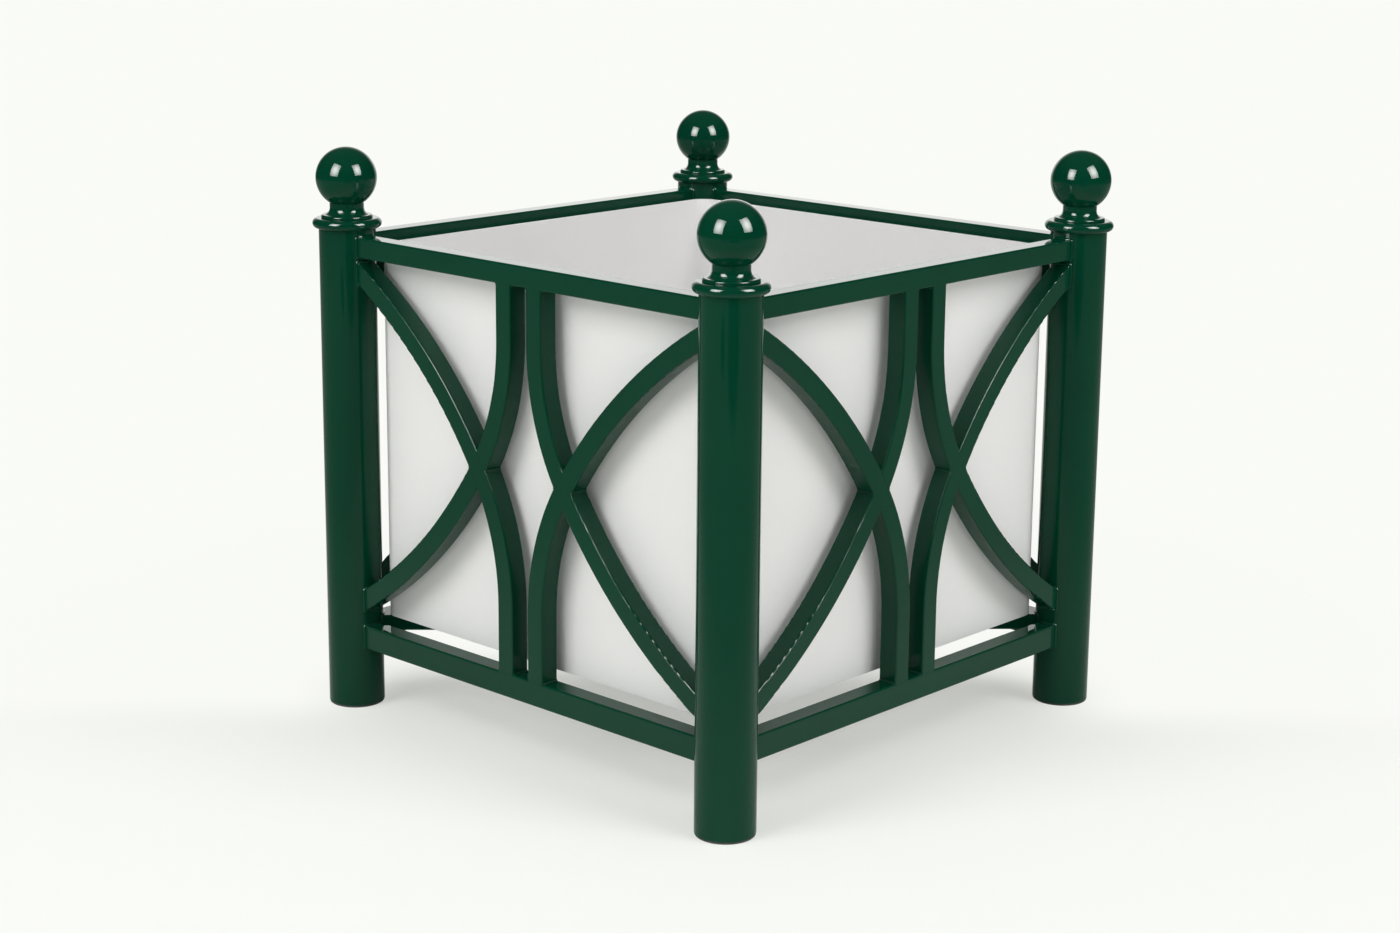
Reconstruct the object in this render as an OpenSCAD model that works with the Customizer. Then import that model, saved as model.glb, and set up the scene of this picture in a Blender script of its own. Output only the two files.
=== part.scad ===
// Square garden planter: a welded steel frame of four round posts with ball finials,
// square-tube rails and a curved lattice on each side, round a loose white liner.
// Millimetres, +Z up. The origin is on the floor, under the middle of the planter.
// Each face is drawn once, in its own plane with u across and z up, and turned into place.

/* [Overall] */
// Width and depth over the outsides of the posts
planter_w = 710; // [650:10:800]
// Height from the floor to the top of the balls
planter_h = 710; // [650:10:780]

/* [Posts] */
// Outside diameter of a post tube
post_d = 70; // [62:1:78]
// Wall of a post tube
post_wall = 3; // [2:0.5:5]

/* [Feet] */
// Thickness of the foot cap that shows under a post
foot_t = 3; // [2:0.5:6]
// Length of the foot cap's plug inside the post
foot_plug_l = 22; // [15:1:35]
// How far the foot cap's rim stands back from the post's surface
foot_inset = 0.5; // [0.5:0.25:1.5]
// Depth of one sealing fin on the plug
foot_fin = 2.5; // [1.5:0.5:4]

/* [Finials] */
// Diameter of a ball
ball_d = 75; // [66:1:82]
// Diameter of the waist under a ball
neck_d = 42; // [34:1:50]
// Radius of the sweep from the waist out to the step on the flange
neck_sweep = 8.5; // [6:0.5:9.5]
// Diameter of the round-edged step on top of the flange
collar_d = 63; // [60:1:68]
// Height of the step on top of the flange
collar_t = 4; // [3:0.5:6]
// Distance from the ball's centre down to the flange's underside
finial_drop = 62; // [60:1:72]
// Diameter of the flange
flange_d = 85; // [80:1:94]
// Thickness of the flange, which is also its round edge's diameter
flange_t = 12.5; // [10:0.5:16]
// Length of the spigot inside the post
spigot_l = 28; // [20:1:40]
// Wall of the hollow casting
cast_wall = 6; // [4:0.5:9]

/* [Rails] */
// Depth of every rail, from outside to inside
rail_w = 25; // [20:1:30]
// Height of a top rail
top_rail_h = 25; // [20:1:32]
// Height of a bottom rail
low_rail_h = 30; // [22:1:38]
// Underside of the bottom rails above the floor
low_rail_z = 78; // [60:1:110]
// How far the post's top end stands above the top rails
top_rail_drop = 8; // [4:1:16]

/* [Lattice] */
// Width of a lattice bar seen from the front
bar_w = 25; // [20:1:30]
// Wall of the rails and the lattice bars
tube_wall = 2; // [1.5:0.25:3]
// Outer corner radius of the rails and the lattice bars
tube_corner = 2; // [1:0.25:3.5]
// Open gap between the two upright bar ends in the middle of a face
pair_gap = 26; // [20:1:34]
// Radius of a bar's bend between its upright end and the crossing
tight_r = 300; // [275:25:325]
// Height of the crossings above the middle of the opening
crossing_lift = 7; // [3:1:14]
// Distance from the top rail down to a bar's middle where that bar meets a post
bar_end_inset = 21; // [17:1:32]

/* [Base] */
// Width of the tubes that carry the liner
base_bar_w = 20; // [16:1:24]
// Height of the tubes that carry the liner
base_bar_t = 20; // [16:1:24]
// Top of the base bars above the tops of the bottom rails
base_lift = 7; // [2:1:9]

/* [Liner] */
// Gap between the liner and the rails' inner faces, which is the room to lift it out
liner_gap = 12.5; // [8:0.5:30]
// How far the liner's rim stays below the tops of the top rails
rim_drop = 12; // [6:1:30]
// Wall of the liner
liner_wall = 4; // [3:0.5:7]
// Outer radius of the liner's upright corners
liner_corner = 22; // [14:1:40]
// Diameter of a drain hole in the liner's floor
drain_d = 12; // [8:1:20]
// Distance from the liner's middle to each outer drain hole, along both directions
drain_off = 170; // [100:5:200]

/* [Hidden] */
// Each node's name, corner by corner and face by face

// Gap left for the weld where a tube's end is shaped to meet a curved surface
weld_gap = 0.1;
// Clearance of the spigots and plugs inside the post tubes, on the radius
plug_gap = 0.1;
// Clearance under the liner
seat_gap = 0.2;
// Roundness of the curved surfaces
$fn = 96;

// Half the distance between the axes of neighbouring posts
pitch = (planter_w - post_d) / 2;
post_r = post_d / 2;
post_bore_r = post_r - post_wall;
ball_z = planter_h - ball_d / 2;
post_top_z = ball_z - finial_drop;
top_rail_z = post_top_z - top_rail_drop - top_rail_h;
low_rail_top = low_rail_z + low_rail_h;
// A bar leans this far out of the upright at its crossing. Its sine and cosine have
// four digits and no more, so that the two bends meet on one plane without a step.
lean_sin = 0.5376;
lean_cos = 0.8432;
lean = asin(lean_sin);
// Lattice: distances of the upright ends and the crossing from the face's middle
upright_u = (pair_gap + bar_w) / 2;
crossing_u = upright_u + tight_r * (1 - lean_cos);
crossing_z = (low_rail_top + top_rail_z) / 2 + crossing_lift;
bend_h = tight_r * lean_sin;
// Second bend: from the crossing to the post's surface, radius to the nearest 25 mm
reach = pitch - post_r - crossing_u;
rise = top_rail_z - bar_end_inset - crossing_z;
wide_turn = 2 * (90 - lean - atan(rise / reach));
wide_r = 25 * round(norm([reach, rise]) / (2 * sin(wide_turn / 2)) / 25);
// A bar runs this far into the post before its end is shaped to the post
bar_overrun = post_r * 0.7;
base_top = low_rail_top + base_lift;
liner_half = pitch - rail_w / 2 - liner_gap;
liner_z = base_top + seat_gap;
liner_top = top_rail_z + top_rail_h - rim_drop;
green = [0.05, 0.22, 0.15];
white = [0.93, 0.93, 0.92];
black = [0.08, 0.08, 0.08];

// Angle that a length takes up along a bend
function arc_angle(length, r) = length / r * 180 / PI;

// Square with round corners, centred
module round_rect(w, h, r) {
    square([w - 2 * r, h], center = true);
    square([w, h - 2 * r], center = true);
    for (x = [-1, 1], y = [-1, 1])
        translate([x * (w / 2 - r), y * (h / 2 - r)]) circle(r);
}

// Section of a square tube, centred
module tube_section(w, h) {
    difference() {
        round_rect(w, h, tube_corner);
        square([w - 2 * tube_wall, h - 2 * tube_wall], center = true);
    }
}

// Section of the room that a tube and its weld gap take out of what is shaped to it
module room_section(w, h) {
    round_rect(w + 2 * weld_gap, h + 2 * weld_gap, tube_corner + weld_gap);
}

// Places a piece at one corner: 0 front left, 1 front right, 2 back right, 3 back left
module at_corner(i) {
    rotate([0, 0, 90 * i]) translate([-pitch, -pitch, 0]) children();
}

// Stands a face's drawing upright on one side: 0 front, 1 right, 2 back, 3 left
module on_face(i) {
    rotate([0, 0, 90 * i]) translate([0, -pitch, 0]) rotate([90, 0, 0]) children();
}

// The two posts of a face, in the face's drawing, with room for the weld
module face_posts() {
    for (s = [-1, 1])
        translate([s * pitch, 0, 0]) rotate([-90, 0, 0])
            cylinder(r = post_r + weld_gap, h = planter_h);
}

// Post: a round tube between its foot cap and its finial
module post(i) {
    color(green) at_corner(i) translate([0, 0, foot_t]) difference() {
        cylinder(r = post_r, h = post_top_z - foot_t);
        translate([0, 0, -1]) cylinder(r = post_bore_r, h = post_top_z - foot_t + 2);
    }
}

// Right half of the finial's section, with the ball's centre at the origin
module finial_outline() {
    flange_r = flange_d / 2;
    edge_r = flange_t / 2;
    neck_r = neck_d / 2;
    collar_r = collar_d / 2;
    collar_z = -finial_drop + flange_t;
    collar_edge_r = collar_t / 2;
    neck_z = collar_z + collar_t + neck_sweep - edge_r / 16;
    intersection() {
        circle(r = ball_d / 2);
        translate([0, -ball_d / 2]) square([ball_d, ball_d]);
    }
    difference() {
        translate([0, -finial_drop + edge_r]) square([neck_r + neck_sweep, finial_drop - edge_r]);
        translate([neck_r + neck_sweep, neck_z]) circle(r = neck_sweep);
        translate([neck_r, neck_z]) square([neck_sweep + 1, finial_drop]);
    }
    translate([0, collar_z - 1]) square([collar_r, collar_edge_r + 1]);
    translate([0, collar_z - 1]) square([collar_r - collar_edge_r, collar_t + 1]);
    translate([collar_r - collar_edge_r, collar_z + collar_edge_r]) circle(r = collar_edge_r);
    translate([0, -finial_drop]) square([flange_r - edge_r, flange_t]);
    translate([flange_r - edge_r, -finial_drop + edge_r]) circle(r = edge_r);
    translate([0, -finial_drop - spigot_l]) square([post_bore_r - plug_gap, spigot_l + 1]);
}

// Finial: one hollow casting, a ball on a waist, a step and a round-edged flange, with
// a spigot
module finial(i) {
    color(green) at_corner(i) translate([0, 0, ball_z]) rotate_extrude() difference() {
        finial_outline();
        intersection() {
            circle(r = ball_d / 2 - cast_wall);
            translate([0, -ball_d / 2]) square([ball_d, ball_d]);
        }
        translate([0, -finial_drop - spigot_l - 1])
            square([neck_d / 2 - cast_wall, finial_drop + spigot_l]);
        translate([0, -finial_drop - spigot_l - 1])
            square([post_bore_r - plug_gap - cast_wall, spigot_l + 1]);
    }
}

// Foot cap: a round-edged disc under the post on a hollow plug with sealing fins
module foot(i) {
    core_r = post_bore_r - plug_gap - foot_fin;
    fin_step = (foot_plug_l - foot_fin) / 3;
    edge_r = foot_t / 2;
    rim_r = post_r - foot_inset;
    color(black) at_corner(i) rotate_extrude() difference() {
        union() {
            square([rim_r - edge_r, foot_t]);
            translate([rim_r - edge_r, edge_r]) circle(r = edge_r);
            translate([rim_r - edge_r, edge_r]) square([edge_r, edge_r]);
            translate([0, foot_t / 2]) square([core_r, foot_plug_l + foot_t / 2]);
            for (k = [1:3])
                translate([0, foot_t + k * fin_step]) square([core_r + foot_fin, foot_fin / 2]);
        }
        translate([0, foot_t]) square([core_r - foot_fin, foot_plug_l + 1]);
    }
}

// Straight sweep of a rail's section from post axis to post axis, in the face's drawing
module rail_sweep(z, h) {
    translate([-pitch, z + h / 2, 0]) rotate([90, 0, 90]) linear_extrude(2 * pitch) children();
}

// Room that both rails of a face take out of a bar which ends on them
module rails_room() {
    rail_sweep(top_rail_z, top_rail_h) room_section(top_rail_h, rail_w);
    rail_sweep(low_rail_z, low_rail_h) room_section(low_rail_h, rail_w);
}

// Rail: a straight tube between two posts, its ends shaped to them
module rail(i, z, h) {
    color(green) on_face(i) difference() {
        rail_sweep(z, h) tube_section(h, rail_w);
        face_posts();
    }
}

// Bend of a bar whose crossing is at the origin, from where it would be upright
module bar_bend(r, turn) {
    translate([r * lean_cos, -r * lean_sin, 0]) mirror([1, 0, 0])
        rotate_extrude(angle = turn) translate([r, 0]) children();
}

// Half-space on one side of the plane across the bar at its crossing: 1 above, -1 below
module beyond_crossing(side) {
    size = 2 * planter_h;
    rotate([0, 0, -lean]) translate([0, side * size / 2, 0]) cube(size, center = true);
}

// Inner part of a bar, with its crossing at the origin: a bend that ends upright, then
// a straight end of the given length and a little more, to be shaped to the rail below
module inner_sweep(straight) {
    difference() {
        bar_bend(tight_r, lean + arc_angle(bar_w, tight_r)) children();
        beyond_crossing(1);
    }
    translate([upright_u - crossing_u, -bend_h, 0]) rotate([90, 0, 0])
        linear_extrude(straight + tube_corner) children();
}

// Outer part of a bar: the wider bend from the crossing up to the post
module outer_sweep() {
    difference() {
        bar_bend(wide_r, lean + wide_turn + arc_angle(bar_overrun, wide_r)) children();
        beyond_crossing(-1);
    }
}

// Puts a drawing about a crossing on its place in the face; side is -1 left, 1 right.
// The right crossing is the left one turned about the upright through the face's middle.
module at_crossing(side) {
    rotate([0, side < 0 ? 0 : 180, 0]) mirror([1, 0, 0])
        translate([crossing_u, crossing_z, 0]) children();
}

// The unbroken bar of a crossing, which falls from the post's top to the bottom rail
module long_sweep() {
    inner_sweep(crossing_z - bend_h - low_rail_top) children();
    outer_sweep() children();
}

// Room that the unbroken bar and its weld take out of a bar that crosses it: the bend
// on that bar's side, carried past the crossing, so that the shaped end has no step
module crossed_room(r) {
    bar_bend(r, lean + arc_angle(2 * bar_w, r)) room_section(bar_w, rail_w);
}

// Unbroken bar of a crossing
module long_bar(i, side) {
    color(green) on_face(i) difference() {
        at_crossing(side) long_sweep() tube_section(bar_w, rail_w);
        face_posts();
        rails_room();
    }
}

// Outer half of the broken bar: from the crossing down to the post
module outer_bar(i, side) {
    color(green) on_face(i) difference() {
        at_crossing(side) difference() {
            mirror([0, 1, 0]) outer_sweep() tube_section(bar_w, rail_w);
            crossed_room(tight_r);
        }
        face_posts();
    }
}

// Inner half of the broken bar: from the crossing up to the top rail
module inner_bar(i, side) {
    color(green) on_face(i) difference() {
        at_crossing(side) difference() {
            mirror([0, 1, 0])
                inner_sweep(top_rail_z - crossing_z - bend_h) tube_section(bar_w, rail_w);
            crossed_room(wide_r);
        }
        rails_room();
    }
}

// Square tube along the diagonal through the front left corner, from s0 to s1
module base_tube(s0, s1) {
    rotate([0, 0, 45]) translate([s0, 0, base_top - base_bar_t / 2])
        rotate([90, 0, 90]) linear_extrude(s1 - s0) tube_section(base_bar_w, base_bar_t);
}

// What a base bar is cut back from: the posts and the inner faces of the bottom rails
module base_room() {
    for (i = [0:3]) {
        at_corner(i) cylinder(r = post_r + weld_gap, h = planter_h);
        rotate([0, 0, 90 * i])
            translate([-pitch, -pitch - rail_w / 2 - 1, low_rail_z - 1])
                cube([2 * pitch, rail_w + 1 + weld_gap, low_rail_h + 1 + weld_gap]);
    }
}

// Unbroken base bar, from the front left post to the back right post
module base_bar_long() {
    diagonal = pitch * sqrt(2);
    color(green) difference() {
        base_tube(-diagonal, diagonal);
        base_room();
    }
}

// Half of the other base bar, from the unbroken one to the front right or back left post
module base_bar_half(turn) {
    color(green) difference() {
        rotate([0, 0, turn]) base_tube(base_bar_w / 2, pitch * sqrt(2));
        base_room();
    }
}

// Liner: a loose open box with drain holes, which lifts straight out
module liner() {
    inner_half = liner_half - liner_wall;
    color(white) difference() {
        translate([0, 0, liner_z]) linear_extrude(liner_top - liner_z)
            round_rect(2 * liner_half, 2 * liner_half, liner_corner);
        translate([0, 0, liner_z + liner_wall]) linear_extrude(liner_top - liner_z)
            round_rect(2 * inner_half, 2 * inner_half, liner_corner - liner_wall);
        for (p = [[0, 0], [-1, -1], [1, -1], [1, 1], [-1, 1]])
            translate([p[0] * drain_off, p[1] * drain_off, liner_z - 1])
                cylinder(d = drain_d, h = liner_wall + 2);
    }
}

corner_names = ["front_left", "front_right", "back_right", "back_left"];
face_names = ["front", "right", "back", "left"];

for (i = [0:3]) {
    post(i);
    finial(i);
    foot(i);
    rail(i, top_rail_z, top_rail_h);
    rail(i, low_rail_z, low_rail_h);
    for (k = [1, 2]) {
        long_bar(i, 2 * k - 3);
        outer_bar(i, 2 * k - 3);
        inner_bar(i, 2 * k - 3);
    }
}
base_bar_long();
base_bar_half(-90);  // base_bar_half_front
base_bar_half(90);  // base_bar_half_back
liner();
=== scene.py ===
"""Looks of a square garden planter: four round posts with ball finials, square-tube
rails, a curved crossing lattice on every side and a loose white liner.

The CAD solids keep their meshes and get procedural finishes, and modifiers even the
shading of rails and bars. The weld beads, which the CAD model leaves out, are swept by
Geometry Nodes along paths worked out from the same sizes. All lengths are in metres,
with the origin on the floor under the middle.
"""

from __future__ import annotations

import logging
import math
from collections.abc import Iterable, Mapping, Sequence
from dataclasses import dataclass
from enum import Enum

import bpy
from mathutils import Matrix, Vector


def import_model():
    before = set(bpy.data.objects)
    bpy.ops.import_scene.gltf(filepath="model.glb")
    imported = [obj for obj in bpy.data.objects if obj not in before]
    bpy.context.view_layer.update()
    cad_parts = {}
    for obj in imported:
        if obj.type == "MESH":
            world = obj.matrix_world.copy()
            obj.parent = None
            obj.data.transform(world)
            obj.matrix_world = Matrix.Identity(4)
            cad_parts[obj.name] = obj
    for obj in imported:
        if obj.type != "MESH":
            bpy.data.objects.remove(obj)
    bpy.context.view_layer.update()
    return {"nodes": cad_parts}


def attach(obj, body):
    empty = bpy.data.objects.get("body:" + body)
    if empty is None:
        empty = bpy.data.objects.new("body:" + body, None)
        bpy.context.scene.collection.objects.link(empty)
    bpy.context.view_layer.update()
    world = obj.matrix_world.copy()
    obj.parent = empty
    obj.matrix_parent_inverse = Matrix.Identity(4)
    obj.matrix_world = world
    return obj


log = logging.getLogger("planter")

Colour = tuple[float, float, float]
Point = tuple[float, float, float]
Pair = tuple[float, float]
Path = list[Point]

# Colour of the background, direction from the camera past the planter, and how far a
# direction turns towards it (as a cosine) before it counts as behind the planter
PALE: Colour = (0.955, 0.965, 0.925)
BACKWARDS: Point = (-0.6823, 0.7311, 0.0)
BEHIND: Pair = (0.72, 0.97)


class Side(Enum):
    """The four sides, each with its number of quarter turns from the front."""

    FRONT = 0
    RIGHT = 1
    BACK = 2
    LEFT = 3


class Corner(Enum):
    """The four corners, each with its number of quarter turns from the front left."""

    FRONT_LEFT = 0
    FRONT_RIGHT = 1
    BACK_RIGHT = 2
    BACK_LEFT = 3


class Hand(Enum):
    """Which half of a side a crossing stands in, seen from outside."""

    LEFT = -1
    RIGHT = 1


# Sizes


@dataclass(frozen=True)
class Sizes:
    """The planter's sizes, the same values as in the part's own source."""

    pitch: float = 0.320
    post_r: float = 0.035
    rail: float = 0.025
    bar: float = 0.025
    corner: float = 0.002
    low_rail_z: float = 0.078
    low_rail_h: float = 0.030
    top_rail_z: float = 0.5775
    pair_gap: float = 0.026
    tight_r: float = 0.300
    wide_r: float = 0.650
    lean_sin: float = 0.5376
    lean_cos: float = 0.8432
    crossing_lift: float = 0.007
    base_w: float = 0.020
    base_t: float = 0.020
    base_lift: float = 0.007

    @property
    def low_rail_top(self) -> float:
        """Height of the bottom rails' upper faces."""
        return self.low_rail_z + self.low_rail_h

    @property
    def upright_u(self) -> float:
        """Distance of an upright bar end from the middle of its side."""
        return (self.pair_gap + self.bar) / 2

    @property
    def crossing_u(self) -> float:
        """Distance of a crossing from the middle of its side."""
        return self.upright_u + self.tight_r * (1 - self.lean_cos)

    @property
    def crossing_z(self) -> float:
        """Height of the crossings."""
        return (self.low_rail_top + self.top_rail_z) / 2 + self.crossing_lift

    @property
    def base_top(self) -> float:
        """Height of the base bars' upper faces."""
        return self.low_rail_top + self.base_lift


# Shader and geometry node helpers


@dataclass(frozen=True)
class Wire:
    """One output socket, which takes part in Python expressions and adds its nodes."""

    sheet: "Sheet"
    socket: bpy.types.NodeSocket

    @property
    def is_vector(self) -> bool:
        """True where the socket carries a vector, so that Vector Math is used."""
        return self.socket.type == "VECTOR"

    def _join(self, operation: str, first: object, second: object) -> "Wire":
        """Adds one Math or Vector Math node.

        Args:
            operation: The node's operation.
            first: Its first value or link.
            second: Its second value or link.

        Returns:
            The node's result.
        """
        kind = "ShaderNodeVectorMath" if self.is_vector else "ShaderNodeMath"
        return self.sheet.node(kind, {"operation": operation}, {0: first, 1: second})

    def __add__(self, other: object) -> "Wire":
        """Sum."""
        return self._join("ADD", self, other)

    def __radd__(self, other: object) -> "Wire":
        """Sum, reflected."""
        return self._join("ADD", other, self)

    def __sub__(self, other: object) -> "Wire":
        """Difference."""
        return self._join("SUBTRACT", self, other)

    def __rsub__(self, other: object) -> "Wire":
        """Difference, reflected."""
        return self._join("SUBTRACT", other, self)

    def __mul__(self, other: object) -> "Wire":
        """Product."""
        return self._join("MULTIPLY", self, other)

    def __truediv__(self, other: object) -> "Wire":
        """Quotient."""
        return self._join("DIVIDE", self, other)

    def step(self, low: float, high: float) -> "Wire":
        """Smooth step from 0 to 1.

        Args:
            low: Value at which the step starts.
            high: Value at which it ends.

        Returns:
            The step.
        """
        return self.sheet.node(
            "ShaderNodeMapRange",
            {"interpolation_type": "SMOOTHSTEP"},
            {"Value": self, "From Min": low, "From Max": high},
        )

    def blend(self, first: object, second: object) -> "Wire":
        """Mixes two colours by this value.

        Args:
            first: Colour where this value is 0.
            second: Colour where this value is 1.

        Returns:
            The mixed colour.
        """
        return self.sheet.node(
            "ShaderNodeMix",
            {"data_type": "RGBA"},
            {"Factor_Float": self, "A_Color": first, "B_Color": second},
            "Result_Color",
        )


@dataclass(frozen=True)
class Sheet:
    """A node tree, the one method that puts any node on it, and short forms of that."""

    tree: bpy.types.NodeTree

    def node(
        self,
        kind: str,
        settings: Mapping[str, object] | None = None,
        inputs: Mapping[int | str, object] | None = None,
        output: int | str = 0,
    ) -> Wire:
        """Adds a node, applies its settings first and then fills its sockets.

        Args:
            kind: The node's type.
            settings: Its properties by name.
            inputs: Values or wires by the socket's number, name or identifier.
            output: Number, name or identifier of the output that is wanted.

        Returns:
            The wanted output as a wire.
        """
        made = self.tree.nodes.new(kind)
        for name, value in (settings or {}).items():
            setattr(made, name, value)
        for key, value in (inputs or {}).items():
            self._fill(self._socket(made.inputs, key), value)
        return Wire(self, self._socket(made.outputs, output))

    def end(self, kind: str, result: Wire) -> None:
        """Adds the tree's output node.

        Args:
            kind: The node's type.
            result: What the tree gives.
        """
        made = self.tree.nodes.new(kind)
        self.tree.links.new(result.socket, made.inputs[0])

    def place(self) -> Wire:
        """Adds the piece's own coordinates.

        Returns:
            Each point's place.
        """
        return self.node("ShaderNodeTexCoord", output="Object")

    def noise(self, place: Wire, scale: float, detail: float, rough: float = 0.5) -> Wire:
        """Adds a noise.

        Args:
            place: Where it is read.
            scale: How many swells it has in a metre.
            detail: How many finer layers it has.
            rough: How strong the finer layers are.

        Returns:
            The noise, from 0 to 1.
        """
        inputs = {"Vector": place, "Scale": scale, "Detail": detail, "Roughness": rough}
        return self.node("ShaderNodeTexNoise", {}, inputs)

    def bump(self, height: Wire, strength: float, distance: float) -> Wire:
        """Adds a bump.

        Args:
            height: The relief.
            strength: How much of it is taken.
            distance: The relief's depth in metres.

        Returns:
            The normal.
        """
        inputs = {"Strength": strength, "Distance": distance, "Height": height}
        return self.node("ShaderNodeBump", {}, inputs, "Normal")

    def measure(self, operation: str, first: Wire, second: object = 0.0) -> Wire:
        """Adds a Vector Math node whose result is a number.

        Args:
            operation: The node's operation.
            first: Its first vector.
            second: Its second vector, where the operation has one.

        Returns:
            The number.
        """
        inputs = {0: first, 1: second}
        return self.node("ShaderNodeVectorMath", {"operation": operation}, inputs, "Value")

    def upward(self, place: Wire) -> Wire:
        """Takes the upward part of a vector.

        Args:
            place: The vector.

        Returns:
            Its Z.
        """
        return self.node("ShaderNodeSeparateXYZ", {}, {0: place}, "Z")

    def ray(self, kind: str) -> Wire:
        """Adds a test of the ray.

        Args:
            kind: The Light Path output.

        Returns:
            1 for a ray of that kind and 0 for others.
        """
        return self.node("ShaderNodeLightPath", output=kind)

    def light(self, kind: str, colour: object, strength: object) -> Wire:
        """Adds a shader that gives light.

        Args:
            kind: The node's type.
            colour: The light's colour.
            strength: Its strength.

        Returns:
            The shader.
        """
        return self.node(kind, {}, {"Color": colour, "Strength": strength})

    def mix(self, share: Wire, first: Wire, second: Wire) -> Wire:
        """Mixes two shaders.

        Args:
            share: The second shader's share.
            first: The first shader.
            second: The second shader.

        Returns:
            The mixed shader.
        """
        return self.node("ShaderNodeMixShader", {}, {0: share, 1: first, 2: second})

    def finish(
        self, colour: Wire, roughness: Wire, normal: Wire, more: Mapping[str, object] | None = None
    ) -> None:
        """Ends a material with its surface.

        Args:
            colour: The base colour.
            roughness: The roughness.
            normal: The normal.
            more: Other sockets' values by name.
        """
        inputs = {"Base Color": colour, "Roughness": roughness, "Normal": normal}
        surface = self.node("ShaderNodeBsdfPrincipled", {}, {**inputs, **(more or {})})
        self.end("ShaderNodeOutputMaterial", surface)

    def _socket(
        self, sockets: Iterable[bpy.types.NodeSocket], key: int | str
    ) -> bpy.types.NodeSocket:
        """Finds a socket.

        Args:
            sockets: The node's inputs or outputs.
            key: The socket's number, identifier or name.

        Returns:
            The socket.
        """
        if isinstance(key, int):
            return list(sockets)[key]
        for socket in sockets:
            if socket.identifier == key:
                return socket
        for socket in sockets:
            if socket.name == key and socket.enabled:
                return socket
        raise KeyError(f"no socket {key}")

    def _fill(self, socket: bpy.types.NodeSocket, value: object) -> None:
        """Links a wire to a socket, or sets the socket's own value.

        Args:
            socket: The input.
            value: A wire, number, colour, vector or data block.
        """
        if isinstance(value, Wire):
            self.tree.links.new(value.socket, socket)
        elif socket.type == "RGBA":
            socket.default_value = (*value[:3], 1.0)
        elif isinstance(value, (int, float)) and socket.type == "VECTOR":
            socket.default_value = (value, value, value)
        else:
            socket.default_value = value


def new_material(name: str) -> tuple[bpy.types.Material, Sheet]:
    """Makes an empty node material.

    Args:
        name: The material's name.

    Returns:
        The material and its sheet of nodes.
    """
    material = bpy.data.materials.new(name)
    material.use_nodes = True
    material.node_tree.nodes.clear()
    return material, Sheet(material.node_tree)


# Finishes


@dataclass(frozen=True)
class PowderCoat:
    """Glossy dark green powder coat, with orange peel and thin dust in its colour."""

    name: str = "green_powder_coat"
    deep: Colour = (0.0006, 0.0370, 0.0182)
    fresh: Colour = (0.0011, 0.0450, 0.0222)
    cloud_scale: float = 7.0
    dust_scale: float = 900.0
    dust_share: float = 0.3
    tones: Pair = (0.25, 0.75)
    roughness: float = 0.028
    uneven: float = 0.03
    ior: float = 1.25
    peel_scale: float = 260.0
    peel_rough: float = 0.45
    peel_depth: float = 0.000005

    def make(self) -> bpy.types.Material:
        """Builds the material.

        Returns:
            The material.
        """
        material, sheet = new_material(self.name)
        place = sheet.place()
        cloud = sheet.noise(place, self.cloud_scale, detail=3.0)
        dust = sheet.noise(place, self.dust_scale, detail=1.0)
        peel = sheet.noise(place, self.peel_scale, detail=2.0, rough=self.peel_rough)
        tone = cloud * (1 - self.dust_share) + dust * self.dust_share
        sheet.finish(
            tone.step(*self.tones).blend(self.deep, self.fresh),
            self.roughness + cloud * self.uneven,
            sheet.bump(peel, 1.0, self.peel_depth),
            {"IOR": self.ior},
        )
        return material


@dataclass(frozen=True)
class LinerPlastic:
    """Matt white moulded plastic of the liner, with faint flow marks and a fine grain."""

    name: str = "white_plastic"
    clean: Colour = (0.81, 0.805, 0.797)
    dull: Colour = (0.785, 0.78, 0.772)
    flow_scale: float = 5.0
    flow_stretch: Point = (1.0, 1.0, 0.35)
    tones: Pair = (0.3, 0.75)
    roughness: float = 0.6
    uneven: float = 0.1
    ior: float = 1.25
    grain_scale: float = 1400.0
    grain_strength: float = 0.6
    grain_depth: float = 0.00003

    def make(self) -> bpy.types.Material:
        """Builds the material.

        Returns:
            The material.
        """
        material, sheet = new_material(self.name)
        place = sheet.place()
        flow = sheet.noise(place * self.flow_stretch, self.flow_scale, detail=4.0)
        grain = sheet.noise(place, self.grain_scale, detail=2.0)
        sheet.finish(
            flow.step(*self.tones).blend(self.clean, self.dull),
            self.roughness + flow * self.uneven,
            sheet.bump(grain, self.grain_strength, self.grain_depth),
            {"IOR": self.ior},
        )
        return material


@dataclass(frozen=True)
class FootPlastic:
    """Black moulded plastic of the foot caps, grained and a little scuffed low down."""

    name: str = "black_plastic"
    black: Colour = (0.012, 0.012, 0.012)
    scuffed: Colour = (0.045, 0.045, 0.043)
    scuff_scale: float = 300.0
    scuff_tones: Pair = (0.5, 0.7)
    scuff_height: float = 0.003
    roughness: float = 0.5
    uneven: float = 0.15
    grain_scale: float = 1200.0
    grain_strength: float = 0.8
    grain_depth: float = 0.00005

    def make(self) -> bpy.types.Material:
        """Builds the material.

        Returns:
            The material.
        """
        material, sheet = new_material(self.name)
        place = sheet.place()
        scuff = sheet.noise(place, self.scuff_scale, detail=4.0)
        grain = sheet.noise(place, self.grain_scale, detail=2.0)
        low = 1 - sheet.upward(place).step(0.0, self.scuff_height)
        sheet.finish(
            (scuff.step(*self.scuff_tones) * low).blend(self.black, self.scuffed),
            self.roughness + scuff * self.uneven,
            sheet.bump(grain, self.grain_strength, self.grain_depth),
        )
        return material


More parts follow.
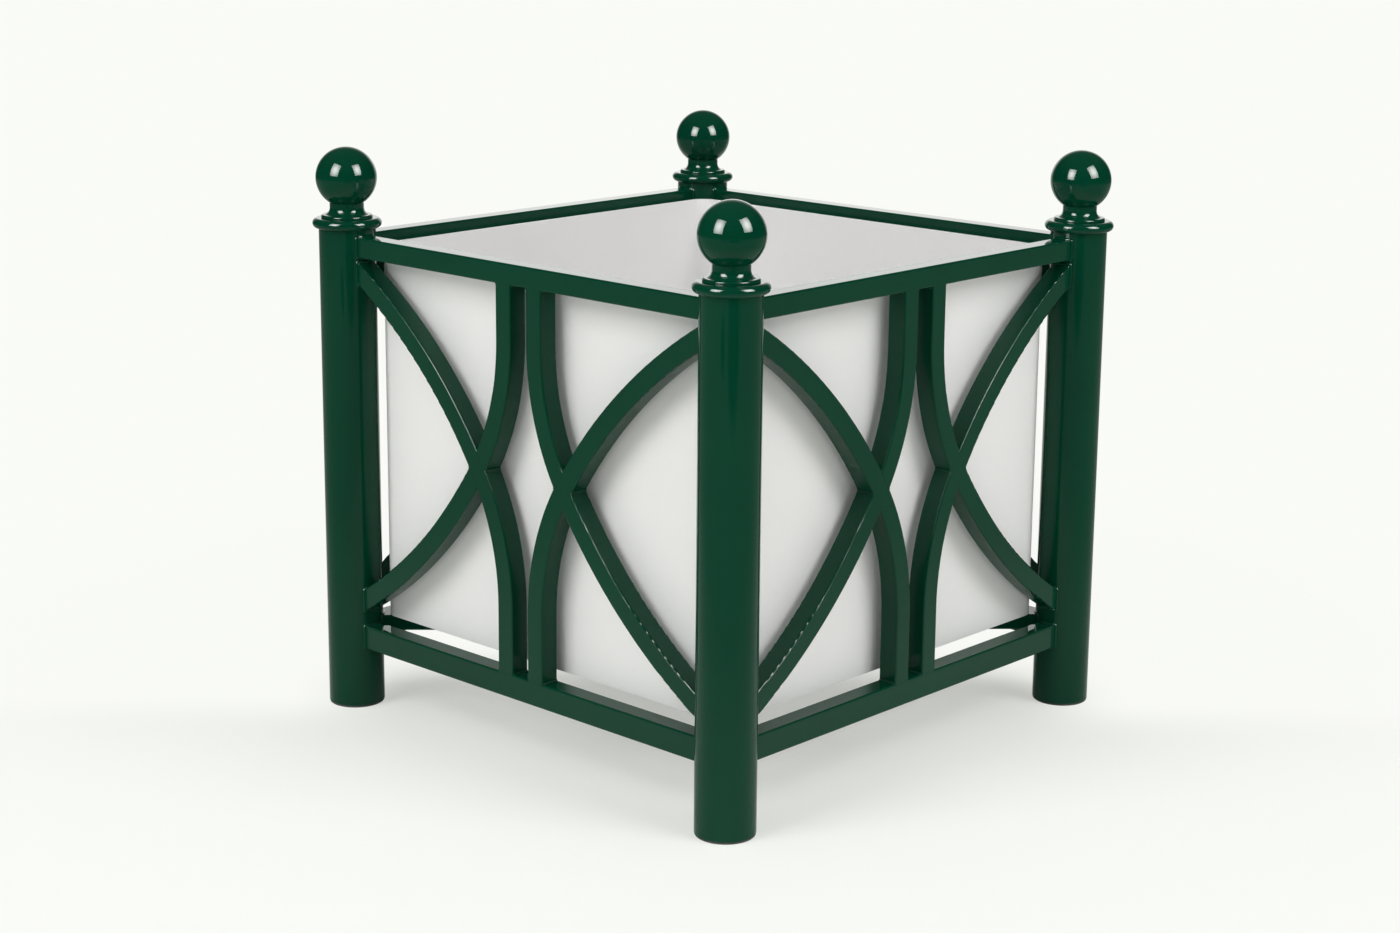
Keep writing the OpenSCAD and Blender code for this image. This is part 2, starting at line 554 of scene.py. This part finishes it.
@dataclass(frozen=True)
class FloorPaper:
    """Pale paper floor. It takes the planter's shadow near by and fades to the pale of
    the background further out. For the camera a pale glow is mixed in, painted light that
    thins the shadow, most past and beside the planter. In the gloss it shows a painted
    reflection: pale behind the planter, the room in front of the paper dim, and darker
    discs of a stand and a flag."""

    name: str = "floor_paper"
    dim: Colour = (0.04, 0.04, 0.04)
    grain_scale: float = 400.0
    grain_strength: float = 0.2
    grain_depth: float = 0.0001
    lift: float = 0.42
    rise: float = 0.54
    past_depth: Pair = (0.03, 0.22)
    beside_distance: Pair = (0.38, 0.55)
    beside_depth: Pair = (-0.15, 0.0)
    fade: Pair = (0.75, 1.35)
    sheet_end: Pair = (0.45, 1.5)
    beyond: float = 0.45
    reach: Pair = (2.5, 7.0)
    # Painted reflection: darker discs in what gloss sees of the floor, for a stand and a flag.
    painted_stand_reflection: tuple[Point, float] = ((2.75, -2.20, 0.0), 1.0)
    painted_flag_reflection: tuple[Point, float] = ((1.05, -3.10, 0.0), 0.35)
    soft_edge: Pair = (0.8, 1.2)

    def camera_share(self, distance: Wire, depth: Wire, outer: Wire) -> Wire:
        """Share of the background's pale glow in what the camera sees of the floor.
        The glow is painted light: it thins the planter's shadow, most past and beside it.

        Args:
            distance: Distance from the middle of the planter.
            depth: Distance past the planter, away from the camera.
            outer: Step from 0 near the planter to 1 far out.

        Returns:
            The share.
        """
        past = depth.step(*self.past_depth)
        beside = distance.step(*self.beside_distance) * depth.step(*self.beside_depth)
        # Painted light: the glow rises past and beside the planter, where its shadow falls.
        lifted = self.lift + (past + beside * (1 - past)) * self.rise
        return lifted + outer * (1 - lifted)

    def lit_share(self, sheet: Sheet, place: Wire, distance: Wire) -> Wire:
        """Share of the floor that gloss shows lit, and not as the painted dim reflection.

        Args:
            sheet: The material's nodes.
            place: Each point's place.
            distance: Distance from the middle of the planter.

        Returns:
            The share.
        """
        lit = 1 - distance.step(*self.sheet_end) * (1 - self.beyond)
        lit = lit * (1 - distance.step(*self.reach))
        inner, outer = self.soft_edge
        for middle, radius in (self.painted_stand_reflection, self.painted_flag_reflection):
            off = sheet.measure("DISTANCE", place, middle)
            lit = lit * off.step(radius * inner, radius * outer)
        return lit

    def make(self) -> bpy.types.Material:
        """Builds the material.

        Returns:
            The material.
        """
        material, sheet = new_material(self.name)
        place = sheet.place()
        distance = sheet.measure("LENGTH", place)
        depth = sheet.measure("DOT_PRODUCT", place, BACKWARDS)
        behind = (depth / distance).step(*BEHIND)
        grain = sheet.noise(place, self.grain_scale, detail=2.0)
        bump = sheet.bump(grain, self.grain_strength, self.grain_depth)
        paper = sheet.node("ShaderNodeBsdfDiffuse", {}, {"Color": PALE, "Normal": bump})
        glow = sheet.light("ShaderNodeEmission", PALE, 1.0)
        room = sheet.light("ShaderNodeEmission", self.dim, 1.0)
        seen = sheet.ray("Is Camera Ray")
        shone = sheet.ray("Is Glossy Ray")
        passed = sheet.ray("Is Transmission Ray")
        # Painted light and reflection: pale glow for the camera and, far out behind the planter,
        # for gloss and transmission; in front of the planter gloss sees the painted dim room.
        outer = distance.step(*self.fade)
        pale_share = self.camera_share(distance, depth, outer) * seen
        pale_share = pale_share + outer * (shone + passed) * behind
        away = (1 - self.lit_share(sheet, place, distance)) * shone * (1 - behind)
        mixed = sheet.mix(away, sheet.mix(pale_share, paper, glow), room)
        sheet.end("ShaderNodeOutputMaterial", mixed)
        return material


# Weld beads


@dataclass(frozen=True)
class BeadTree:
    """Geometry Nodes that sweep a rippled bead along every path of a mesh of edges."""

    spacing: float = 0.0014
    radius: float = 0.0024
    ripple: float = 0.12
    ripple_scale: float = 330.0
    seed: float = 11.0
    sides: int = 8

    def make(self, paint: bpy.types.Material) -> bpy.types.NodeTree:
        """Builds the tree.

        Args:
            paint: Material of the beads.

        Returns:
            The tree, whose named inputs are Bead Radius, Spacing, Ripple and Seed.
        """
        tree = bpy.data.node_groups.new("weld_bead", "GeometryNodeTree")
        face = tree.interface
        face.new_socket("Geometry", in_out="INPUT", socket_type="NodeSocketGeometry")
        for name in ("Bead Radius", "Spacing", "Ripple", "Seed"):
            face.new_socket(name, in_out="INPUT", socket_type="NodeSocketFloat")
        face.new_socket("Geometry", in_out="OUTPUT", socket_type="NodeSocketGeometry")
        sheet = Sheet(tree)
        given = tree.nodes.new("NodeGroupInput")
        wires = {s.name: Wire(sheet, s) for s in given.outputs if s.name}
        line = sheet.node("GeometryNodeMeshToCurve", {}, {"Mesh": wires["Geometry"]})
        line = sheet.node(
            "GeometryNodeResampleCurve",
            {"mode": "LENGTH"},
            {"Curve": line, "Length": wires["Spacing"]},
        )
        place = sheet.node("GeometryNodeInputPosition")
        wobble = sheet.node(
            "ShaderNodeTexNoise",
            {"noise_dimensions": "4D"},
            {"Vector": place, "W": wires["Seed"], "Scale": self.ripple_scale, "Detail": 1.0},
        )
        swell = 1.0 + (wobble - 0.5) * 2.0 * wires["Ripple"]
        ring = sheet.node(
            "GeometryNodeCurvePrimitiveCircle",
            {},
            {"Resolution": self.sides, "Radius": wires["Bead Radius"]},
        )
        bead = sheet.node(
            "GeometryNodeCurveToMesh",
            {},
            {"Curve": line, "Profile Curve": ring, "Scale": swell, "Fill Caps": True},
        )
        bead = sheet.node("GeometryNodeSetShadeSmooth", {}, {"Geometry": bead})
        bead = sheet.node("GeometryNodeRealizeInstances", {}, {"Geometry": bead})
        bead = sheet.node(
            "GeometryNodeSetMaterial", {}, {"Geometry": bead, "Material": paint}
        )
        sheet.end("NodeGroupOutput", bead)
        return tree


def sweep_beads(
    name: str, paths: Sequence[tuple[Path, bool]], shape: BeadTree, paint: bpy.types.Material
) -> bpy.types.Object:
    """Sweeps weld beads along paths and leaves them as one plain mesh.

    Args:
        name: Name of the finished piece.
        paths: Each path's points, and whether it closes on itself.
        shape: The beads' sizes.
        paint: Their material.

    Returns:
        The finished piece.
    """
    points: list[Point] = []
    edges: list[tuple[int, int]] = []
    for path, closed in paths:
        first = len(points)
        points.extend(path)
        edges.extend((first + k, first + k + 1) for k in range(len(path) - 1))
        if closed:
            edges.append((len(points) - 1, first))
    lines = bpy.data.meshes.new(name + "_paths")
    lines.from_pydata(points, edges, [])
    carrier = bpy.data.objects.new(name + "_paths", lines)
    bpy.context.scene.collection.objects.link(carrier)
    tree = shape.make(paint)
    modifier = carrier.modifiers.new("beads", "NODES")
    modifier.node_group = tree
    values = {
        "Bead Radius": shape.radius,
        "Spacing": shape.spacing,
        "Ripple": shape.ripple,
        "Seed": shape.seed,
    }
    for item in tree.interface.items_tree:
        if item.item_type == "SOCKET" and item.in_out == "INPUT" and item.name in values:
            modifier[item.identifier] = values[item.name]
    depsgraph = bpy.context.evaluated_depsgraph_get()
    made = bpy.data.meshes.new_from_object(carrier.evaluated_get(depsgraph))
    made.name = name
    carrier.modifiers.clear()
    bpy.data.objects.remove(carrier)
    piece = bpy.data.objects.new(name, made)
    bpy.context.scene.collection.objects.link(piece)
    return piece


def on_side(side: Side, u: float, out: float, z: float, sizes: Sizes) -> Point:
    """Puts a point of a side's own plane in its place.

    Args:
        side: The side.
        u: Distance from the middle of the side, to the right seen from outside.
        out: Distance outwards from the plane through the posts' axes.
        z: Height.
        sizes: The planter's sizes.

    Returns:
        The point.
    """
    x, y = u, -sizes.pitch - out
    for _ in range(side.value):
        x, y = -y, x
    return (x, y, z)


def rounded_loop(
    width: float, height: float, corner: float, per_side: int = 8, per_corner: int = 3
) -> list[Pair]:
    """Points round a rectangle with round corners.

    Args:
        width: Size along the first coordinate.
        height: Size along the second coordinate.
        corner: Radius of the corners.
        per_side: Steps on each straight side.
        per_corner: Steps round each corner.

    Returns:
        The points, in order.
    """
    loop: list[Pair] = []
    middle = ((1, 1, 0), (-1, 1, 90), (-1, -1, 180), (1, -1, 270))
    for sx, sy, start in middle:
        cx = sx * (width / 2 - corner)
        cy = sy * (height / 2 - corner)
        for k in range(per_corner + 1):
            a = math.radians(start + 90 / per_corner * k)
            loop.append((cx + corner * math.cos(a), cy + corner * math.sin(a)))
        last = loop[-1]
        nx, ny = middle[(middle.index((sx, sy, start)) + 1) % 4][:2]
        a = math.radians(start + 90)
        following = (
            nx * (width / 2 - corner) + corner * math.cos(a),
            ny * (height / 2 - corner) + corner * math.sin(a),
        )
        for k in range(1, per_side):
            t = k / per_side
            x = last[0] + (following[0] - last[0]) * t
            y = last[1] + (following[1] - last[1]) * t
            loop.append((x, y))
    return loop


def circles_meet(c1: Pair, r1: float, c2: Pair, r2: float) -> Pair:
    """Finds the meeting point of two circles that lies nearer to the origin.

    Args:
        c1: Centre of the first circle.
        r1: Its radius.
        c2: Centre of the second circle.
        r2: Its radius.

    Returns:
        The meeting point.
    """
    dx, dy = c2[0] - c1[0], c2[1] - c1[1]
    d = math.hypot(dx, dy)
    a = (r1 * r1 - r2 * r2 + d * d) / (2 * d)
    h = math.sqrt(r1 * r1 - a * a)
    mx, my = c1[0] + a * dx / d, c1[1] + a * dy / d
    both = [(mx - h * dy / d, my + h * dx / d), (mx + h * dy / d, my - h * dx / d)]
    return min(both, key=lambda p: math.hypot(*p))


@dataclass(frozen=True)
class EdgeTree:
    """Geometry Nodes that close the seams between a solid's faces and mark sharp edges."""

    merge: float = 0.000001
    limit: float = 50.0

    def make(self) -> bpy.types.NodeTree:
        """Builds the tree.

        Returns:
            The tree.
        """
        tree = bpy.data.node_groups.new("plain_edges", "GeometryNodeTree")
        for way in ("INPUT", "OUTPUT"):
            tree.interface.new_socket("Geometry", in_out=way, socket_type="NodeSocketGeometry")
        sheet = Sheet(tree)
        solid = sheet.node("NodeGroupInput")
        solid = sheet.node(
            "GeometryNodeMergeByDistance", {}, {"Geometry": solid, "Distance": self.merge}
        )
        angle = sheet.node("GeometryNodeInputMeshEdgeAngle", output="Unsigned Angle")
        smooth = sheet.node(
            "FunctionNodeCompare",
            {"operation": "LESS_EQUAL"},
            {0: angle, 1: math.radians(self.limit)},
        )
        solid = sheet.node(
            "GeometryNodeSetShadeSmooth",
            {"domain": "EDGE"},
            {"Geometry": solid, "Shade Smooth": smooth},
        )
        sheet.end("NodeGroupOutput", solid)
        return tree


# Sub-assemblies


@dataclass
class Assembly:
    """What the sub-assemblies share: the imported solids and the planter's sizes."""

    nodes: Mapping[str, bpy.types.Object]
    sizes: Sizes
    paint: bpy.types.Material

    def dress(self, names: Iterable[str], material: bpy.types.Material) -> None:
        """Gives CAD nodes their finish.

        Args:
            names: The nodes.
            material: Their finish.
        """
        for name in names:
            solid = self.nodes[name]
            if not solid.material_slots:
                solid.data.materials.append(material)
            for place in solid.material_slots:
                place.material = material
            log.info("dressed %s", name)

    def even(self, names: Iterable[str]) -> None:
        """Evens the shading of tubes, so that a round edge catches the light in one line.

        Args:
            names: The nodes.
        """
        tree = EdgeTree().make()
        for name in names:
            edges = self.nodes[name].modifiers.new("plain_edges", "NODES")
            edges.node_group = tree
            normals = self.nodes[name].modifiers.new("even_normals", "WEIGHTED_NORMAL")
            normals.keep_sharp = True

    def keep(self, piece: bpy.types.Object, body: str, slot: str) -> None:
        """Puts a finished piece on its body.

        Args:
            piece: The piece.
            body: The body that it rides on.
            slot: The material slot's name. Not used.
        """
        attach(piece, body)
        log.info("made %s: %d faces", piece.name, len(piece.data.polygons))


@dataclass
class Posts(Assembly):
    """Four round posts with their ball finials and foot caps."""

    foot_finish: bpy.types.Material | None = None

    def build(self) -> None:
        """Dresses the posts, finials and feet."""
        corners = [c.name.lower() for c in Corner]
        self.dress([f"post_{c}" for c in corners], self.paint)
        self.dress([f"finial_{c}" for c in corners], self.paint)
        self.dress([f"foot_{c}" for c in corners], self.foot_finish)


@dataclass
class Rails(Assembly):
    """Top and bottom rails, welded to the posts all round."""

    bead: BeadTree = BeadTree()

    def end_loop(self, side: Side, hand: Hand, z: float, height: float) -> Path:
        """Path of the bead round one end of a rail.

        Args:
            side: The rail's side.
            hand: Which end.
            z: Height of the rail's underside.
            height: The rail's height.

        Returns:
            The closed path, on the post's surface.
        """
        s = self.sizes
        path: Path = []
        for up, out in rounded_loop(height, s.rail, s.corner):
            u = s.pitch - math.sqrt(s.post_r**2 - out * out)
            path.append(on_side(side, hand.value * u, out, z + height / 2 + up, s))
        return path

    def build(self) -> None:
        """Dresses the rails and welds them."""
        s = self.sizes
        sides = [x.name.lower() for x in Side]
        names = [f"{kind}_rail_{x}" for kind in ("top", "bottom") for x in sides]
        self.dress(names, self.paint)
        self.even(names)
        paths = [
            (self.end_loop(side, hand, z, height), True)
            for side in Side
            for hand in Hand
            for z, height in ((s.top_rail_z, s.rail), (s.low_rail_z, s.low_rail_h))
        ]
        piece = sweep_beads("rail_welds", paths, self.bead, self.paint)
        self.keep(piece, "frame", "green_powder_coat")


@dataclass
class Lattice(Assembly):
    """The eight crossings of curved bars."""

    bead: BeadTree = BeadTree()

    def post_loop(self, side: Side, hand: Hand, up: int) -> Path:
        """Path of the bead round the end of a bar on its post.

        Args:
            side: The side.
            hand: The crossing.
            up: 1 for the end near the top rail, -1 for the one near the bottom rail.

        Returns:
            The closed path, on the post's surface.
        """
        s = self.sizes
        cu = s.crossing_u + s.wide_r * s.lean_cos
        cz = -s.wide_r * s.lean_sin
        path: Path = []
        for across, out in rounded_loop(s.bar, s.rail, s.corner):
            u = s.pitch - math.sqrt(s.post_r**2 - out * out)
            r = s.wide_r + across
            rise = cz + math.sqrt(r * r - (cu - u) ** 2)
            path.append(on_side(side, hand.value * u, out, s.crossing_z + up * rise, s))
        return path

    def across(self, side: Side, u: float, z: float) -> tuple[Path, bool]:
        """Path of a straight bead over the flat part of a bar's depth.

        Args:
            side: The side.
            u: Its distance from the middle of the side.
            z: Its height.

        Returns:
            The path, which is open.
        """
        s = self.sizes
        depth = s.rail / 2 - s.corner
        return [on_side(side, u, out, z, s) for out in (-depth, 0.0, depth)], False

    def rail_lines(self, side: Side, hand: Hand) -> list[tuple[Path, bool]]:
        """Paths of the beads beside the upright ends, on the faces of the rails.

        Args:
            side: The side.
            hand: The crossing.

        Returns:
            Four open paths.
        """
        s = self.sizes
        return [
            self.across(side, hand.value * (s.upright_u + edge * s.bar / 2), z)
            for z in (s.low_rail_top, s.top_rail_z)
            for edge in (-1, 1)
        ]

    def crossing_lines(self, side: Side, hand: Hand) -> list[tuple[Path, bool]]:
        """Paths of the beads in the four inner corners of a crossing.

        Args:
            side: The side.
            hand: The crossing.

        Returns:
            Four open paths.
        """
        s = self.sizes
        half = s.bar / 2
        tight = (s.tight_r * s.lean_cos, s.tight_r * s.lean_sin)
        wide = (s.wide_r * s.lean_cos, -s.wide_r * s.lean_sin)
        du, dz = circles_meet(wide, s.wide_r + half, tight, s.tight_r - half)
        inner = tight[0] - math.sqrt((s.tight_r + half) ** 2 - tight[1] ** 2)
        outer = wide[0] - math.sqrt((s.wide_r - half) ** 2 - wide[1] ** 2)
        return [
            self.across(side, hand.value * (s.crossing_u + u), s.crossing_z + z)
            for u, z in ((du, dz), (du, -dz), (inner, 0.0), (outer, 0.0))
        ]

    def build(self) -> None:
        """Dresses the bars and welds them to the posts, the rails and each other."""
        for side in Side:
            names = [
                f"{kind}_bar_{side.name.lower()}_{number}"
                for number in (1, 2)
                for kind in ("long", "outer", "inner")
            ]
            self.dress(names, self.paint)
            self.even(names)
        paths: list[tuple[Path, bool]] = []
        for side in Side:
            for hand in Hand:
                paths.append((self.post_loop(side, hand, 1), True))
                paths.append((self.post_loop(side, hand, -1), True))
                paths.extend(self.rail_lines(side, hand))
                paths.extend(self.crossing_lines(side, hand))
        piece = sweep_beads("lattice_welds", paths, self.bead, self.paint)
        self.keep(piece, "frame", "green_powder_coat")


@dataclass
class BaseBars(Assembly):
    """The crossed square tubes under the liner."""

    bead: BeadTree = BeadTree()

    def post_loop(self, turn: float) -> Path:
        """Path of the bead round a base bar's end on its post.

        Args:
            turn: Direction of the corner, in degrees from +X.

        Returns:
            The closed path, on the post's surface.
        """
        s = self.sizes
        a = math.radians(turn)
        path: Path = []
        for across, up in rounded_loop(s.base_w, s.base_t, s.corner):
            along = s.pitch * math.sqrt(2) - math.sqrt(s.post_r**2 - across * across)
            x = along * math.cos(a) - across * math.sin(a)
            y = along * math.sin(a) + across * math.cos(a)
            path.append((x, y, s.base_top - s.base_t / 2 + up))
        return path

    def build(self) -> None:
        """Dresses the base bars and welds their ends."""
        self.dress(["base_bar_long", "base_bar_half_front", "base_bar_half_back"], self.paint)
        paths = [(self.post_loop(turn), True) for turn in (45.0, 135.0, 225.0, 315.0)]
        piece = sweep_beads("base_bar_welds", paths, self.bead, self.paint)
        self.keep(piece, "frame", "green_powder_coat")


@dataclass
class Liner(Assembly):
    """The loose white liner."""

    finish: bpy.types.Material | None = None

    def build(self) -> None:
        """Dresses the liner."""
        self.dress(["liner"], self.finish)


# Studio


def facing(place: Point, target: Point) -> Matrix:
    """Turns a lamp or panel towards a point.

    Args:
        place: Where it stands.
        target: What it looks at.

    Returns:
        Its place as a matrix, whose -Z looks at the target.
    """
    look = Vector(target) - Vector(place)
    return Matrix.Translation(place) @ look.to_track_quat("-Z", "Y").to_matrix().to_4x4()


def flat_piece(name: str, w: float, h: float, material: bpy.types.Material) -> bpy.types.Object:
    """Makes a flat piece of the studio.

    Args:
        name: Its name.
        w: Half its width.
        h: Half its height.
        material: Its material.

    Returns:
        The piece, level and at the origin.
    """
    mesh = bpy.data.meshes.new(name)
    mesh.from_pydata([(-w, -h, 0), (w, -h, 0), (w, h, 0), (-w, h, 0)], [], [(0, 1, 2, 3)])
    mesh.materials.append(material)
    piece = bpy.data.objects.new(name, mesh)
    bpy.context.scene.collection.objects.link(piece)
    return piece


@dataclass(frozen=True)
class Softbox:
    """A large soft lamp that lights surfaces and leaves the gloss to the panels."""

    name: str
    centre: Point
    size: Pair
    power: float
    target: Point = (0.0, 0.0, 0.4)

    def build(self) -> None:
        """Builds the lamp."""
        data = bpy.data.lights.new(self.name, "AREA")
        data.shape = "RECTANGLE"
        data.size, data.size_y = self.size
        data.energy = self.power
        lamp = bpy.data.objects.new(self.name, data)
        lamp.matrix_world = facing(self.centre, self.target)
        lamp.visible_camera = False
        lamp.visible_glossy = False
        bpy.context.scene.collection.objects.link(lamp)
        log.info("lamp %s", self.name)


@dataclass(frozen=True)
class Panel:
    """A bright panel that only reflections show, brightest in its middle."""

    name: str
    centre: Point
    size: Pair
    shine: float
    fall: float = 0.7
    fall_end: float = 1.35
    tone: Colour = (1.0, 1.0, 0.98)
    target: Point = (0.0, 0.0, 0.67)

    def build(self) -> None:
        """Builds the panel."""
        width, height = self.size
        material, sheet = new_material(self.name)
        off = sheet.measure("LENGTH", sheet.place() * (2.0 / width, 2.0 / height, 0.0))
        hot = 1.0 - off.step(0.0, self.fall_end) * self.fall
        glow = sheet.light("ShaderNodeEmission", self.tone, hot * self.shine)
        sheet.end("ShaderNodeOutputMaterial", glow)
        card = flat_piece(self.name, width / 2, height / 2, material)
        card.matrix_world = facing(self.centre, self.target)
        card.visible_camera = False
        card.visible_diffuse = False
        card.visible_transmission = False
        card.visible_shadow = False
        log.info("panel %s", self.name)


@dataclass(frozen=True)
class Viewpoint:
    """Where the photograph was taken from."""

    place: Point = (2.08771, -2.26202, 1.07542)
    yaw: float = -0.7507
    pitch: float = 0.2181
    roll: float = 0.0091
    focal: float = 2512.4
    axis_x: float = 700.0
    axis_y: float = 400.0
    frame_w: float = 1400.0
    frame_h: float = 933.0
    sensor: float = 36.0
    clip: Pair = (0.05, 200.0)

    def build(self) -> None:
        """Builds the camera and makes it the scene's own."""
        ahead = Vector(
            (
                math.sin(self.yaw) * math.cos(self.pitch),
                math.cos(self.yaw) * math.cos(self.pitch),
                -math.sin(self.pitch),
            )
        )
        level = Vector((math.cos(self.yaw), -math.sin(self.yaw), 0.0))
        above = level.cross(ahead)
        right = level * math.cos(self.roll) + above * math.sin(self.roll)
        up = above * math.cos(self.roll) - level * math.sin(self.roll)
        turn = Matrix((right, up, -ahead)).transposed().to_4x4()
        data = bpy.data.cameras.new("camera")
        data.sensor_fit = "HORIZONTAL"
        data.sensor_width = self.sensor
        data.lens = self.focal / self.frame_w * self.sensor
        data.shift_x = (self.frame_w / 2 - self.axis_x) / self.frame_w
        data.shift_y = (self.axis_y - self.frame_h / 2) / self.frame_w
        data.clip_start, data.clip_end = self.clip
        camera = bpy.data.objects.new("camera", data)
        camera.matrix_world = Matrix.Translation(self.place) @ turn
        bpy.context.scene.collection.objects.link(camera)
        bpy.context.scene.camera = camera
        log.info("camera ready")


@dataclass(frozen=True)
class Studio:
    """Floor, background and lamps."""

    lamp_left: Point = (-0.82, -5.22, 4.56)
    lamp_right: Point = (5.20, 0.98, 4.56)
    lamp_size: Pair = (3.2, 3.8)
    lamp_power: float = 202.0
    right_share: float = 0.88
    panel_left: Point = (-0.06, -3.54, 2.50)
    panel_right: Point = (3.38, 0.26, 2.74)
    panel_size: Pair = (2.15, 2.9)
    shine: float = 60.0
    panel_back: Point = (-2.73, 2.92, 1.25)
    back_size: Pair = (3.2, 1.4)
    back_shine: float = 1.9
    back_fall: float = 0.2
    floor_half: float = 40.0
    ambient: float = 0.49
    white: Colour = (1.0, 1.0, 1.0)
    room_low: Colour = (0.015, 0.015, 0.015)
    room_high: Colour = (0.16, 0.16, 0.16)
    room_rise: Pair = (0.2, 1.0)

    def build(self) -> None:
        """Builds the floor, the world and the lamps."""
        half = self.floor_half
        ground = flat_piece("floor", half, half, FloorPaper().make())
        self.world()
        right_power = self.lamp_power * self.right_share
        Softbox("softbox_left", self.lamp_left, self.lamp_size, self.lamp_power).build()
        Softbox("softbox_right", self.lamp_right, self.lamp_size, right_power).build()
        Panel("panel_left", self.panel_left, self.panel_size, self.shine).build()
        Panel("panel_right", self.panel_right, self.panel_size, self.shine).build()
        shine, fall = self.back_shine, self.back_fall
        Panel("panel_back", self.panel_back, self.back_size, shine, fall).build()
        bpy.context.scene.view_settings.view_transform = "Standard"

    def world(self) -> None:
        """Builds the world: pale for the camera, and in gloss pale behind the planter
        and dim in front, as a studio is."""
        world = bpy.data.worlds.new("studio")
        world.use_nodes = True
        world.node_tree.nodes.clear()
        bpy.context.scene.world = world
        sheet = Sheet(world.node_tree)
        towards = sheet.node("ShaderNodeTexCoord", output="Generated")
        behind = sheet.measure("DOT_PRODUCT", towards, BACKWARDS).step(*BEHIND)
        rise = sheet.upward(towards).step(*self.room_rise)
        shade = behind.blend(rise.blend(self.room_low, self.room_high), PALE)
        soft = sheet.light("ShaderNodeBackground", self.white, self.ambient)
        room = sheet.light("ShaderNodeBackground", shade, 1.0)
        paper = sheet.light("ShaderNodeBackground", PALE, 1.0)
        indoors = sheet.mix(sheet.ray("Is Glossy Ray"), soft, room)
        bare = sheet.ray("Is Camera Ray") + sheet.ray("Is Transmission Ray")
        sheet.end("ShaderNodeOutputWorld", sheet.mix(bare, indoors, paper))


def main() -> None:
    """Builds the studio and dresses the planter."""
    logging.basicConfig(level=logging.INFO, format="%(message)s")
    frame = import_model()
    Viewpoint().build()
    Studio().build()
    nodes = frame["nodes"]
    sizes = Sizes()
    paint = PowderCoat().make()
    Posts(nodes, sizes, paint, foot_finish=FootPlastic().make()).build()
    Rails(nodes, sizes, paint).build()
    Lattice(nodes, sizes, paint).build()
    BaseBars(nodes, sizes, paint).build()
    Liner(nodes, sizes, paint, finish=LinerPlastic().make()).build()


if __name__ == "__main__":
    main()
